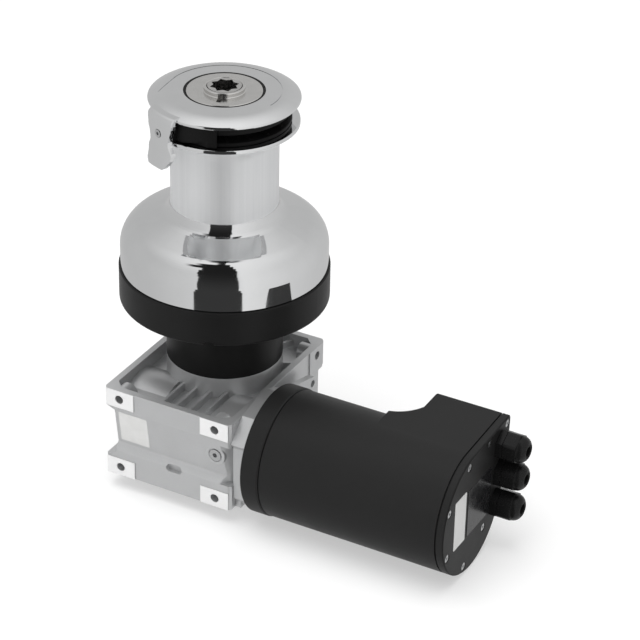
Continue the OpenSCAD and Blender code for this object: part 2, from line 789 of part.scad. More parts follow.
module collar_bolts() {
  color(steel) collar_bolt_places() translate([0, 0, stem_foot_z])
    socket_screw(bolt_r, stem_foot_z + collar_h + 15);
}

// Gearbox

wheel_room_r = 43;
wheel_room_h = 11;
worm_room_r = 16.5;
seal_bore_r = 28;
rim_chamfer = 2.5;
rim_band = 24;
waist_chamfer = 11;
tray_chamfer = 8;
pad_t = 1;
foot_x = foot_pitch_x / 2;
foot_z = foot_pitch_z / 2;
side_foot_y = 53;
foot_boss = 16;
cover_flange_t = 5;
cover_screw_at = 47.4;

module mirrored_low() {
  children();
  translate([0, 0, 2 * box_mid]) mirror([0, 0, 1]) children();
}

module plan_2d(inset, cut) {
  w = box_w / 2 - inset;
  y0 = -box_front + inset;
  y1 = box_back - inset;
  polygon([[-w + cut, y0], [w - cut, y0], [w, y0 + cut], [w, y1 - cut],
    [w - cut, y1], [-w + cut, y1], [-w, y1 - cut], [-w, y0 + cut]]);
}

// Side view: flush under the rims, drafted to a waist, with a bar along the foot
module side_2d() {
  bar_z = box_low + 18;
  polygon(concat(
    [[-box_front, rim_z], [-box_front, rim_z - 20], [-box_front + 5, bar_z + 14]],
    arc([-box_front - 1 + 18, bar_z], 18, 133, 180, 6),
    [[-box_front, box_low], [box_back, box_low], [box_back, bar_z],
     [box_back - 5, bar_z + 14], [box_back, rim_z - 20], [box_back, rim_z]]));
}

// Front view: the left wall stands back between the rim and the bar
module front_2d() {
  w = box_w / 2;
  polygon([[-w, rim_z], [-w, rim_z - 17], [-w + 10, rim_z - 21], [-w + 10, box_low + 22],
    [-w, box_low + 18], [-w, box_low], [w, box_low], [w, rim_z]]);
}

module tray_ribs() {
  rib_w = 2.6;
  rib_top = rim_z - 6;
  rib_h = tray_depth - 5;
  first = -12.4;
  step = 13.4;
  for (i = [0:3]) translate([first + i * step - rib_w / 2, -box_front + 1, rib_top - rib_h])
    cube([rib_w, box_front - 12, rib_h]);
  for (a = [28, 62, 80, 100, 118, 152]) rotate([0, 0, a]) translate([12, -rib_w / 2, rib_top - rib_h])
    cube([box_back + 4, rib_w, rib_h]);
}

module tray_bosses() {
  for (x = [-foot_x, foot_x]) translate([x, -box_front + foot_boss, box_mid + foot_z]) rotate([90, 0, 0])
    cylinder(r = foot_hole_r + 4.5, h = foot_boss);
  for (s = [-1, 1]) translate([s * (box_w / 2 - foot_boss), side_foot_y, box_mid + foot_z])
    rotate([0, s * 90, 0]) cylinder(r = foot_hole_r + 4.5, h = foot_boss);
}

module worm_hump() {
  at_motor() {
    rod_x(barrel_cast_r, -box_w / 2 + 1, -18);
    rod_x(barrel_cast_r, 34, box_w / 2 - 1);
  }
}

module tray() {
  difference() {
    translate([0, 0, rim_z - tray_depth]) linear_extrude(tray_depth + 1) plan_2d(rim_wall, tray_chamfer);
    translate([0, 0, rim_z - tray_depth - 1]) cylinder(r = collar_r, h = tray_depth + 3);
    intersection() {
      translate([0, 0, rim_z - tray_depth - 1]) linear_extrude(tray_depth + 1.1)
        plan_2d(rim_wall - 2, tray_chamfer + 2);
      union() {
        tray_ribs();
        tray_bosses();
        worm_hump();
      }
    }
  }
}

module foot_pads() {
  pad_w = 28;
  pad_h = 17;
  for (s = [-1, 1]) for (up = [0, 1])
    translate([s * (box_w / 2 - 2 - pad_w / 2) - pad_w / 2, -box_front - pad_t, up > 0 ? rim_z - pad_h : box_low])
      cube([pad_w, pad_t + 9, pad_h]);
  for (s = [-1, 1]) for (up = [0, 1])
    translate([s * (box_w / 2 - 3) - 4, side_foot_y - 13, up > 0 ? rim_z - 25 : box_low])
      cube([8, 23, 25]);
}

module foot_places() {
  for (x = [-foot_x, foot_x]) for (z = [-foot_z, foot_z])
    translate([x, -box_front - pad_t, box_mid + z]) rotate([90, 0, 0]) children();
}

module foot_hole() {
  translate([0, 0, -foot_boss - pad_t - 1]) cylinder(r = foot_hole_r, h = 30);
}

module side_foot_places() {
  for (s = [-1, 1]) for (z = [-foot_z, foot_z])
    translate([s * (box_w / 2 + pad_t), side_foot_y, box_mid + z]) rotate([0, s * 90, 0]) children();
}

module box_body() {
  intersection() {
    union() {
      translate([0, 0, box_low]) linear_extrude(box_h) plan_2d(0, waist_chamfer);
      mirrored_low() translate([0, 0, rim_z - rim_band]) linear_extrude(rim_band) plan_2d(0, rim_chamfer);
    }
    rotate([90, 0, 90]) translate([0, 0, -box_w]) linear_extrude(2 * box_w) side_2d();
    rotate([90, 0, 0]) translate([0, 0, -2 * box_front]) linear_extrude(4 * box_front) front_2d();
  }
}

plug_x = box_w / 2 - 16.2;
plug_z = box_mid + 8;
plug_y = -box_front + 2.4;
plug_boss_r = 9.6;

module gearbox_housing() {
  hub_end = hub_low + cover_flange_t;
  color(cast) difference() {
    union() {
      difference() {
        union() {
          box_body();
          foot_pads();
        }
        mirrored_low() tray();
      }
      translate([0, 0, hub_end]) cylinder(r = collar_r, h = hub_z - hub_end);
      translate([plug_x, plug_y + 12, plug_z]) rotate([90, 0, 0]) cylinder(r = plug_boss_r, h = 13);
    }
    // Wheel space, open below for assembly
    translate([0, 0, hub_end - 1]) cylinder(r = wheel_room_r, h = box_mid + wheel_room_h - hub_end + 1);
    translate([0, 0, box_mid]) cylinder(r = wheel_bearing_r, h = wheel_room_h + wheel_bearing_w);
    translate([0, 0, box_mid]) cylinder(r = wheel_bearing_r - 3, h = 40);
    translate([0, 0, box_mid]) cylinder(r = seal_bore_r, h = hub_z - box_mid + 1);
    at_motor() {
      rod_x(worm_room_r, -worm_bearing_x, worm_bearing_x);
      rod_x(worm_bearing_r, worm_bearing_x - worm_bearing_w / 2, box_w);
      rod_x(worm_bearing_r, -box_w, -worm_bearing_x + worm_bearing_w / 2);
    }
    foot_places() foot_hole();
    side_foot_places() foot_hole();
    collar_bolt_places() translate([0, 0, hub_z - 16]) cylinder(r = bolt_r + seat, h = 20);
    cover_screw_places() translate([0, 0, -16]) cylinder(r = 2 + seat, h = 20);
    adapter_screw_places() translate([0, 0, -24]) cylinder(r = 3 + seat, h = 30);
    translate([plug_x, plug_y + 9, plug_z]) rotate([90, 0, 0]) cylinder(r = 4 + seat, h = 20);
    translate([plug_x, plug_y, plug_z]) rotate([90, 0, 0]) cylinder(r = 6.4, h = 10);
    oval_recess();
  }
}

module oval_recess() {
  r = 3.4;
  run = 8.6;
  translate([2, -box_front + 4, box_low + 23.5]) rotate([90, 0, 0]) {
    cylinder(r = r, h = 12);
    translate([run, 0, 0]) cylinder(r = r, h = 12);
    translate([0, -r, 0]) cube([run, 2 * r, 12]);
  }
}

module cover_screw_places() {
  around(6, 30) translate([cover_screw_at, 0, hub_low]) mirror([0, 0, 1]) children();
}

module gearbox_cover() {
  spigot_top = box_mid - wheel_room_h;
  color(cast) difference() {
    union() {
      translate([0, 0, hub_low]) cylinder(r = collar_r, h = cover_flange_t);
      translate([0, 0, hub_low]) cylinder(r = wheel_room_r - seat, h = spigot_top - hub_low);
    }
    translate([0, 0, spigot_top - wheel_bearing_w]) cylinder(r = wheel_bearing_r, h = 40);
    translate([0, 0, hub_low + 6]) cylinder(r = wheel_bearing_r - 3, h = 40);
    at_motor() rod_x(worm_room_r, -box_w / 2, box_w / 2);
    cover_screw_places() translate([0, 0, -16]) cylinder(r = 2 + seat, h = 20);
    cover_screw_places() translate([0, 0, -3]) cylinder(r = 3.8, h = 20);
    ring(wheel_bearing_r + 4, wheel_bearing_r - 4, hub_low - 1, hub_low + 2);
  }
}

module cover_screws() {
  color(steel) cover_screw_places() difference() {
    union() {
      translate([0, 0, -14]) cylinder(r = 2, h = 12);
      translate([0, 0, -3]) cylinder(r = 3.5, h = 2.6);
    }
    translate([0, 0, -1.9]) hex(3, 3);
  }
}

// Worm wheel on its hollow shaft, with the one-way clutch inside

module wheel_shaft() {
  top = hub_z + 12;
  bottom = hub_low + 8;
  color(steel) difference() {
    translate([0, 0, bottom]) cylinder(r = wheel_hub_r, h = top - bottom);
    translate([0, 0, box_mid - 10]) cylinder(r = shaft_r + fine, h = 100);
    translate([0, 0, clutch_z]) cylinder(r = clutch_r, h = 100);
    translate([wheel_hub_r - 3, -3, box_mid - wheel_w / 2]) cube([5, 6, wheel_w]);
  }
}

clutch_z = hub_z - 18;
clutch_len = 24;
clutch_in_r = shaft_r + 2 * clutch_roller_r + 2 * fine;

module clutch_cup() {
  color(steel) difference() {
    translate([0, 0, clutch_z]) cylinder(r = clutch_r - seat, h = clutch_len);
    translate([0, 0, clutch_z + 2]) cylinder(r = clutch_in_r, h = clutch_len - 4);
    translate([0, 0, clutch_z - 1]) cylinder(r = shaft_r + play, h = clutch_len + 2);
  }
}

module clutch_rollers() {
  color(steel) around(16) translate([shaft_r + fine + clutch_roller_r, 0, clutch_z + 3])
    cylinder(r = clutch_roller_r, h = clutch_len - 6, $fn = 32);
}

module worm_wheel() {
  tooth = tooth_points(worm_m, wheel_teeth, wheel_tip_r, wheel_root_r - 1, worm_thin);
  flat = [for (p = tooth) p[0] * [cos(p[1]), sin(p[1])]];
  color(bronze) translate([0, 0, box_mid]) difference() {
    union() {
      translate([0, 0, -wheel_w / 2]) cylinder(r = wheel_root_r, h = wheel_w, $fn = 120);
      intersection() {
        around(wheel_teeth, -90 + 180 / wheel_teeth) rotate([-lead_angle, 0, 0])
          translate([0, 0, -wheel_w]) linear_extrude(2 * wheel_w) polygon(flat);
        translate([0, 0, -wheel_w / 2]) cylinder(r = wheel_tip_r + 5, h = wheel_w);
      }
    }
    translate([0, 0, -wheel_w]) cylinder(r = wheel_hub_r + seat, h = 2 * wheel_w);
    for (z = [wheel_w / 2 - web_cut, -wheel_w / 2 - web_cut]) ring(web_out_r, web_in_r, z, z + 2 * web_cut);
  }
}

wheel_root_r = worm_m * (wheel_teeth / 2 - 1.2);
web_cut = 4;
web_in_r = wheel_hub_r + 5;
web_out_r = wheel_root_r - 3.6;
worm_thin = 0.1;
bearing_gap = 0.3;

// One sealed bearing: the outer ring carries both shields, the inner ring is drawn apart
module bearing_outer(outer, inner, w) {
  wall = (outer - inner) * 0.3;
  lip = inner + (outer - inner) * 0.3 + 0.2;
  rotate_extrude() polygon([[outer - seat, 0], [outer - seat, w], [outer - wall, w],
    [outer - wall, w - 0.6], [lip, w - 0.6], [lip, w - 1.6], [outer - wall, w - 1.6],
    [outer - wall, 1.6], [lip, 1.6], [lip, 0.6], [outer - wall, 0.6], [outer - wall, 0]]);
}

module bearing_inner(outer, inner, w) {
  ring(inner + (outer - inner) * 0.3 - bearing_gap, inner + seat, 0, w);
}

wheel_bearing_z = [box_mid + wheel_room_h, box_mid - wheel_room_h - wheel_bearing_w];

module wheel_bearings() {
  color(steel) for (z = wheel_bearing_z) translate([0, 0, z])
    bearing_outer(wheel_bearing_r, wheel_hub_r, wheel_bearing_w);
}

module wheel_bearing_inner_rings() {
  color(steel) for (z = wheel_bearing_z) translate([0, 0, z])
    bearing_inner(wheel_bearing_r, wheel_hub_r, wheel_bearing_w);
}

module oil_seals() {
  color(rubber) {
    ring(seal_bore_r - seat, wheel_hub_r + fine, hub_z - 12, hub_z - 4);
    at_motor() ring_x(worm_bearing_r - seat, worm_journal_r + fine, worm_bearing_x + worm_bearing_w / 2 + 3,
      worm_bearing_x + worm_bearing_w / 2 + 10);
  }
}

// Worm: one right-hand thread, drawn as a cross section that turns once in each lead

worm_slices = 14;
tip_half = worm_lead / 4 - (worm_tip_r - worm_pitch_r) * tan(gear_angle) - worm_thin / 2;
root_half = worm_lead / 4 + (worm_pitch_r - worm_root_r) * tan(gear_angle) - worm_thin / 2;
tip_turn = 360 * tip_half / worm_lead;
root_turn = 360 * root_half / worm_lead;

module worm_section() {
  half = concat(
    [for (i = [1:2]) [worm_tip_r, tip_turn * i / 2]],
    [for (i = [1:5]) [worm_tip_r + (worm_root_r - worm_tip_r) * i / 5,
      tip_turn + (root_turn - tip_turn) * i / 5]],
    [[worm_root_r, (root_turn + 180) / 2]]);
  last = len(half) - 1;
  all_round = concat([[worm_tip_r, 0]], half, [[worm_root_r, 180]],
    [for (i = [0:last]) [half[last - i][0], -half[last - i][1]]]);
  polygon([for (p = all_round) p[0] * [cos(p[1]), sin(p[1])]]);
}

module worm_thread() {
  turns = worm_len / worm_lead;
  translate([-worm_len / 2, 0, 0]) rotate([90, 0, 90])
    linear_extrude(worm_len, twist = -360 * turns, slices = floor(worm_slices * turns), $fn = 12)
      rotate(-180 * turns) worm_section();
}

module worm_shaft() {
  x0 = -worm_bearing_x - worm_bearing_w / 2 - 0.5;
  x1 = box_w / 2 + 4;
  end = worm_len / 2;
  color(steel) at_motor() difference() {
    union() {
      worm_thread();
      rod_x(worm_root_r - 0.6, -end - 6, end + 6);
      rod_x(worm_journal_r, x0, -end - 2);
      rod_x(worm_journal_r, end + 2, x1);
      rod_x(worm_journal_r + 2, -worm_bearing_x + worm_bearing_w / 2, -end - 4);
      rod_x(worm_journal_r + 2, end + 4, worm_bearing_x - worm_bearing_w / 2);
    }
    rod_x(shaft_end_r + seat, x1 - 22, x1 + 1);
  }
}

module worm_bearings() {
  color(steel) at_motor() for (s = [-1, 1]) along_x()
    translate([0, 0, s * worm_bearing_x - worm_bearing_w / 2])
      bearing_outer(worm_bearing_r, worm_journal_r, worm_bearing_w);
}

module worm_bearing_inner_rings() {
  color(steel) at_motor() for (s = [-1, 1]) along_x()
    translate([0, 0, s * worm_bearing_x - worm_bearing_w / 2])
      bearing_inner(worm_bearing_r, worm_journal_r, worm_bearing_w);
}

left_wall_x = -box_w / 2 + 10;

module worm_end_cap() {
  x1 = -worm_bearing_x - worm_bearing_w / 2 - 0.4;
  color(cast) at_motor() difference() {
    rod_x(worm_bearing_r - seat, left_wall_x + 1, x1);
    rod_x(worm_journal_r + 2, x1 - 3, x1 + 1);
    rod_x(worm_bearing_r - 4, left_wall_x, left_wall_x + 2);
  }
}

module oil_plug() {
  color(steel) translate([plug_x, plug_y, plug_z]) rotate([90, 0, 0]) difference() {
    union() {
      translate([0, 0, -8]) cylinder(r = 4, h = 9);
      cylinder(r = 5.6, h = 1.4);
    }
    translate([0, 0, -2]) hex(4, 6);
  }
}

// Adapter between the gearbox and the motor

// Outline of the adapter seen along the motor: ears round the worm bearing, the far top one drilled
adapter_ear = [20.6, 26.8];
adapter_ear_r = 6.5;
adapter_ear_t = 6;
adapter_foot_t = 5.5;
adapter_x = box_w / 2;
adapter_screw_r = 38;

module adapter_2d() {
  half = box_h / 2;
  near = worm_y - half;
  polygon([[near + 12, -half - 1], [near, -half + 11], [near, half - 24], [near - 4, half - 19],
    [near + 15, half], [near + 40, half + 5], [near + 57, half + 5], [near + 74, half - 3],
    [near + 92, half - 22], [near + 97, 0], [near + 97, -half - 1]]);
}

module adapter_ear_2d() {
  half = box_h / 2;
  near = worm_y - half;
  polygon(concat([[near + 50, -half + 10], [near + 50, half], [near + 57, half + 5]],
    arc(adapter_ear, adapter_ear_r, 72, -30, 6),
    [[adapter_ear[0] - 5, -8], [near + 97, -32]]));
}

module adapter_foot_2d() {
  half = box_h / 2;
  near = worm_y - half;
  polygon([[near + 4, -half], [near + 4, 0], [near + 97, 0], [near + 97, -half]]);
}

module adapter_screw_places() {
  at_motor() for (i = [0:3]) rotate([45 + 90 * i, 0, 0])
    translate([adapter_x, adapter_screw_r, 0]) rotate([0, 90, 0]) children();
}

pilot_r = 28;
pilot_len = 6;

module motor_adapter() {
  color(cast) difference() {
    union() {
      translate([adapter_x, 0, motor_z]) rotate([90, 0, 90]) {
        linear_extrude(adapter_t) adapter_2d();
        linear_extrude(adapter_foot_t) adapter_foot_2d();
        translate([0, 0, adapter_t - adapter_ear_t]) linear_extrude(adapter_ear_t) adapter_ear_2d();
      }
      at_motor() rod_x(worm_bearing_r - seat, adapter_x - 5, adapter_x + 1);
    }
    at_motor() rod_x(pilot_r, motor_x - pilot_len - 0.4, motor_x + 1);
    at_motor() rod_x(worm_journal_r + 2, adapter_x - 10, motor_x);
    translate([adapter_x - 1, adapter_ear[0], motor_z + adapter_ear[1]]) rotate([0, 90, 0])
      cylinder(r = 3.4, h = 30);
    adapter_screw_places() translate([0, 0, -1]) cylinder(r = 3 + seat, h = 30);
    adapter_screw_places() translate([0, 0, adapter_t - 6.4]) cylinder(r = 5.4, h = 30);
  }
}

module adapter_screws() {
  color(steel) adapter_screw_places() difference() {
    union() {
      translate([0, 0, -20]) cylinder(r = 3, h = adapter_t - 6 + 20);
      translate([0, 0, adapter_t - 6.4]) cylinder(r = 4.9, h = 5.6);
    }
    translate([0, 0, adapter_t - 3.4]) hex(5, 4);
  }
}

// Motor

motor_bearing_r = 16;
motor_bearing_w = 10;
front_bearing_x = motor_x + 3;
rear_bearing_x = rear_plate_x + 1;
plate_w = 9;

module revolve_x() {
  along_x() rotate_extrude($fn = 150) children();
}

module motor_flange() {
  r = motor_r + 0.9;
  x1 = motor_x + flange_w;
  color(black) at_motor() revolve_x() polygon([
    [motor_bearing_r - 3, motor_x - pilot_len], [pilot_r - seat, motor_x - pilot_len],
    [pilot_r - seat, motor_x], [r - 0.8, motor_x], [r, motor_x + 0.8],
    [r, x1 - 1], [r - 1, x1], [motor_in_r - 1, x1], [motor_in_r - seat, tube_x0 + 0.1],
    [motor_in_r - seat, x1 + 5], [motor_in_r - 5, x1 + 5], [motor_in_r - 5, x1 - 7],
    [motor_bearing_r + 4, x1 - 7], [motor_bearing_r + 4, x1 - 2],
    [motor_bearing_r, x1 - 2], [motor_bearing_r, front_bearing_x],
    [motor_bearing_r - 3, front_bearing_x]]);
}

// Section of the control housing: the round tube with a box grown out of its far side
far_y = 67.4;
far_top = 59.1;

module section_2d(w) {
  r = motor_r - w;
  low = arc([50.4 - w, -18 + w], 5, -15, -68, 5);
  circle(r = r, $fn = 150);
  polygon(concat(
    [[0, 0], [-2.4, r - 0.1], [far_y - w - 2.5, far_top - w]],
    arc([far_y - w - 2.5, far_top - w - 2.5], 2.5, 90, 0, 4),
    [[far_y - 1 - w, 38.6]], low, [[-20 + w, -52.4 + w]]));
}

bulge_x = motor_end - control_len;

module bulge_plan(w) {
  far = far_y - w;
  near_x = bulge_x + w;
  polygon(concat([[near_x - 5, -80]],
    arc([near_x - 14.5, 57.4], 36.6, -75, -25, 8),
    arc([near_x + 23, far - 4], 4, 180, 90, 4),
    [[motor_end + 2, far], [motor_end + 2, -80]]));
}

module bulge(w, x1) {
  intersection() {
    translate([bulge_x - 6, 0, 0]) rotate([90, 0, 90]) linear_extrude(x1 - bulge_x + 6) section_2d(w);
    translate([0, 0, -100]) linear_extrude(200) bulge_plan(w);
  }
}

module motor_housing() {
  color(black) at_motor() difference() {
    union() {
      rod_x(motor_r, tube_x0, tube_x1);
      bulge(0, tube_x1);
    }
    rod_x(motor_in_r, tube_x0 - 1, rear_plate_x + plate_w);
    rod_x(motor_in_r, rear_plate_x, tube_x1 + 1);
    bulge(motor_wall, tube_x1 + 1);
  }
}

slots = 12;
stator_yoke = 7.5;
slot_w = 11.2;
slot_depth = 9;
slot_in_r = motor_in_r - stator_yoke - slot_depth;
tooth_tip = 5;
air_gap = 1;
rotor_r = slot_in_r - tooth_tip - air_gap;

module motor_stator() {
  color(steel) at_motor() translate([stator_x0, 0, 0]) rotate([90, 0, 90]) linear_extrude(stator_len)
    difference() {
      circle(r = motor_in_r - seat, $fn = 150);
      circle(r = rotor_r + air_gap);
      for (i = [0:slots - 1]) rotate((i + 0.5) * 360 / slots) {
        translate([slot_in_r, -slot_w / 2]) square([slot_depth, slot_w]);
        translate([rotor_r - 1, -slot_w / 8]) square([slot_in_r - rotor_r + 2, slot_w / 4]);
      }
    }
}

module motor_windings() {
  gap = 0.4;
  color(copper) at_motor() translate([stator_x0 - winding_over, 0, 0]) rotate([90, 0, 90])
    linear_extrude(stator_len + 2 * winding_over)
      for (i = [0:slots - 1]) rotate((i + 0.5) * 360 / slots)
        translate([slot_in_r + gap, gap - slot_w / 2]) square([slot_depth - 2 * gap, slot_w - 2 * gap]);
}

module rotor_core() {
  poles = 10;
  magnet_w = rotor_r / 3;
  magnet_t = 4;
  color(steel) at_motor() difference() {
    rod_x(rotor_r, stator_x0, stator_x0 + stator_len);
    rod_x(shaft_end_r + seat, stator_x0 - 1, stator_x0 + stator_len + 1);
    for (i = [0:poles - 1]) rotate([i * 360 / poles, 0, 0])
      translate([stator_x0 - 1, -magnet_w / 2, 0.7 * rotor_r]) cube([stator_len + 2, magnet_w, magnet_t]);
  }
}

module motor_shaft() {
  shaft_reach = 16;
  flat_len = 15;
  flat_depth = 1.2;
  color(steel) at_motor() difference() {
    union() {
      rod_x(shaft_end_r, box_w / 2 - shaft_reach, rear_bearing_x + motor_bearing_w - 0.5);
      rod_x(shaft_end_r + 3, front_bearing_x + motor_bearing_w + 1, stator_x0 - 0.3);
    }
    translate([box_w / 2 - shaft_reach - 1, -shaft_end_r, shaft_end_r - flat_depth])
      cube([flat_len + 1, 2 * shaft_end_r, 2 * flat_depth]);
  }
}

module motor_bearings() {
  color(steel) at_motor() for (x = [front_bearing_x, rear_bearing_x]) along_x() translate([0, 0, x]) {
    bearing_outer(motor_bearing_r, shaft_end_r, motor_bearing_w);
  }
}

module motor_bearing_inner_rings() {
  color(steel) at_motor() for (x = [front_bearing_x, rear_bearing_x]) along_x() translate([0, 0, x])
    bearing_inner(motor_bearing_r, shaft_end_r, motor_bearing_w);
}

module rear_bearing_plate() {
  vent_r = 7;
  vent_rim = 9.5;
  color(cast) at_motor() difference() {
    union() {
      rod_x(motor_in_r - seat, rear_plate_x, rear_plate_x + plate_w);
      rod_x(motor_bearing_r + 5, rear_plate_x, rear_plate_x + motor_bearing_w + 4);
      for (p = board_posts) translate([0, p[0], p[1]]) rod_x(3.5, rear_plate_x + 1, board_x);
    }
    rod_x(motor_bearing_r, rear_plate_x - 1, rear_bearing_x + motor_bearing_w);
    for (i = [0:5]) rotate([30 + 60 * i, 0, 0])
      translate([rear_plate_x - 1, motor_in_r - vent_rim - vent_r, 0]) rod_x(vent_r, 0, plate_w + 3);
  }
}

board_x = rear_plate_x + 22;
board_t = 1.8;
board_low = [-30, -22];
board_size = [76, 62];
board_posts = [[-24, 34], [30, 34], [-24, -16], [36, -16]];
capacitor_r = 4.4;
capacitor_h = 16;
heat_sink = [9, 32, 22];
terminal_row = [12, 34, 9];
power_switch = [4.5, 5.5, 14];

module controller_board() {
  face = board_x + board_t - fine;
  color(board_green) at_motor() {
    translate([board_x, board_low[0], board_low[1]]) cube([board_t, board_size[0], board_size[1]]);
    translate([face, board_low[0] + 4, 4]) cube(heat_sink);
    for (i = [0:3]) translate([face, 12 + i * (2 * capacitor_r + 1), 18])
      rotate([0, 90, 0]) cylinder(r = capacitor_r, h = capacitor_h);
    translate([face, 4, board_low[1] + 2]) cube(terminal_row);
    for (i = [0:2]) translate([face, board_low[0] + 6 + i * (power_switch[1] + 2.5), board_low[1] + 3])
      cube(power_switch);
  }
}

// End cover, its screws and the cable glands

cover_screw_list = [[-11, 49.5], [27, 52.3], [61.6, 53], [23, -30.5],
  [-13, -49], [-47, -20], [-46, 24]];
groove_x = 1.4;

module end_cover() {
  color(black) at_motor() difference() {
    union() {
      translate([tube_x1, 0, 0]) rotate([90, 0, 90]) linear_extrude(groove_x + 1) section_2d(1.4);
      translate([tube_x1 + groove_x, 0, 0]) rotate([90, 0, 90])
        linear_extrude(cover_t - groove_x - 0.7) section_2d(0);
      translate([motor_end - 2, 0, 0]) rotate([90, 0, 90]) linear_extrude(2) section_2d(0.7);
    }
    for (p = cover_screw_list) translate([motor_end, p[0], p[1]]) {
      rod_x(2 + seat, -20, 1);
      rod_x(3.7, -2, 1);
    }
    for (p = gland_list) translate([motor_end, p[0], p[1]]) rod_x(gland_thread_r + seat, -20, 1);
  }
}

module end_cover_screws() {
  color(steel) at_motor() for (p = cover_screw_list) translate([motor_end, p[0], p[1]])
    rotate([0, 90, 0]) difference() {
      union() {
        translate([0, 0, -cover_t]) cylinder(r = 2, h = cover_t - 1);
        translate([0, 0, -2]) cylinder(r = 3.4, h = 1.6);
      }
      translate([0, 0, -1.2]) hex(2.6, 3);
    }
}

gland_thread_r = 8;
gland_bore_r = 6.4;
gland_base_t = 6;
gland_dome_r = 8;
gland_end = gland_base_t + 0.4 + gland_hex_h + 7.6;
gland_list = [[gland_y, gland_top_z], [gland_y, gland_top_z - gland_pitch],
  [gland_y - 4.5, gland_top_z - 2 * gland_pitch]];

module at_glands() {
  at_motor() for (p = gland_list) translate([motor_end, p[0], p[1]]) rotate([0, 90, 0]) children();
}

module gland_bodies() {
  color(black) at_glands() difference() {
    union() {
      hex(gland_af, gland_base_t);
      translate([0, 0, 0.3 - cover_t])
        cylinder(r = gland_thread_r, h = cover_t + gland_base_t + gland_hex_h - 1.3);
    }
    translate([0, 0, -cover_t - 2]) cylinder(r = gland_bore_r, h = cover_t + gland_end);
  }
}

module gland_nuts() {
  z0 = gland_base_t + 0.4;
  color(black) at_glands() difference() {
    union() {
      intersection() {
        translate([0, 0, z0]) hex(gland_af, gland_hex_h);
        translate([0, 0, z0]) cylinder(r = gland_af / 2 + 1.2, h = gland_hex_h);
      }
      rotate_extrude() polygon(concat(
        [[0, z0 + gland_hex_h - 0.5], [gland_af / 2 - 0.2, z0 + gland_hex_h - 0.5]],
        arc([gland_af / 2 - 0.2 - gland_dome_r, z0 + gland_hex_h], gland_dome_r, 0, 70, 8),
        [[0, gland_end]]));
    }
    translate([0, 0, z0 - 1]) cylinder(r = gland_thread_r + seat, h = gland_hex_h + 1);
    translate([0, 0, z0]) cylinder(r = gland_bore_r, h = 30);
  }
}

module gland_seals() {
  color(rubber) at_glands() ring(gland_bore_r - seat, cable_r, gland_base_t + 2, gland_end - 0.6);
}

// Drawing

self_tailing_arm();
arm_screw();
rope_stripper();
top_cap();
cap_seal_ring();
upper_jaw();
jaw_screws();
lower_jaw();
jaw_spring();
drum();
drum_ring_gear();
main_shaft();
shaft_pinion();
pinion_key();
idler_gear_left();
idler_gear_right();
idler_pins();
centre_stem();
upper_shaft_bush();
lower_shaft_bush();
upper_bearing_cage();
upper_bearing_rollers();
lower_bearing_cage();
lower_bearing_rollers();
thrust_washer();
winch_base();
deck_collar();
collar_bolts();
gearbox_housing();
gearbox_cover();
cover_screws();
wheel_shaft();
worm_wheel();
wheel_bearings();
wheel_bearing_inner_rings();
oil_seals();
clutch_cup();
clutch_rollers();
worm_shaft();
worm_bearings();
worm_bearing_inner_rings();
worm_end_cap();
oil_plug();
motor_adapter();
adapter_screws();
motor_flange();
motor_housing();
motor_stator();
motor_windings();
rotor_core();
motor_shaft();
motor_bearings();
motor_bearing_inner_rings();
rear_bearing_plate();
controller_board();
end_cover();
end_cover_screws();
gland_bodies();
gland_nuts();
gland_seals();
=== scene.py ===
"""Looks of the electric deck winch: finishes, bare plates, camera and light."""

import math

import bmesh
import bpy
from mathutils import Matrix, Vector


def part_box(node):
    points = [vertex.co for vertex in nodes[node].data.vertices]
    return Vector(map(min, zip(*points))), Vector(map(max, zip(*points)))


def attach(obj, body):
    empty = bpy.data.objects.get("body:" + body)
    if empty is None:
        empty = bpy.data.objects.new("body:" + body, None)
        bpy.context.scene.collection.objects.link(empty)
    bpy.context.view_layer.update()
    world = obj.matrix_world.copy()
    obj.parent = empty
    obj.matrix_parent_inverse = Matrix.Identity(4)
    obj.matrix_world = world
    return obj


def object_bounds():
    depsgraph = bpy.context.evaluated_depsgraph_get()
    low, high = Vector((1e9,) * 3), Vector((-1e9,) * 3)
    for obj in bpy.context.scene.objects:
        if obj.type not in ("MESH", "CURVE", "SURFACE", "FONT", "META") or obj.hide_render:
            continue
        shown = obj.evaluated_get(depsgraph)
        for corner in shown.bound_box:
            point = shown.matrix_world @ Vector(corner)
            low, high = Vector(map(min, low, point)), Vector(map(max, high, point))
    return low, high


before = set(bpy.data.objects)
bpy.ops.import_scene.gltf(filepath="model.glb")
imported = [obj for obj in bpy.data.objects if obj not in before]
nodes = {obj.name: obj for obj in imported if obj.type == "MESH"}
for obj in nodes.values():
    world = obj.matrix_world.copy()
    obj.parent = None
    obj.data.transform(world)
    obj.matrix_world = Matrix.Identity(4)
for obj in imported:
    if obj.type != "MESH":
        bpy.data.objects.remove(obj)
cad_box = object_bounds()


def span(node, axis):
    """Lowest and highest value of a CAD node along one axis, in metres."""
    low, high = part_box(node)
    return low[axis], high[axis]


# Places read from the frame
BOX_FRONT = span("gearbox_housing", 1)[0]
COVER_X = span("end_cover", 0)[1]
LOWEST = cad_box[0][2]

# ---------------------------------------------------------------- materials

SOCKETS = {"color": "Base Color", "metal": "Metallic", "rough": "Roughness",
           "specular": "Specular IOR Level"}


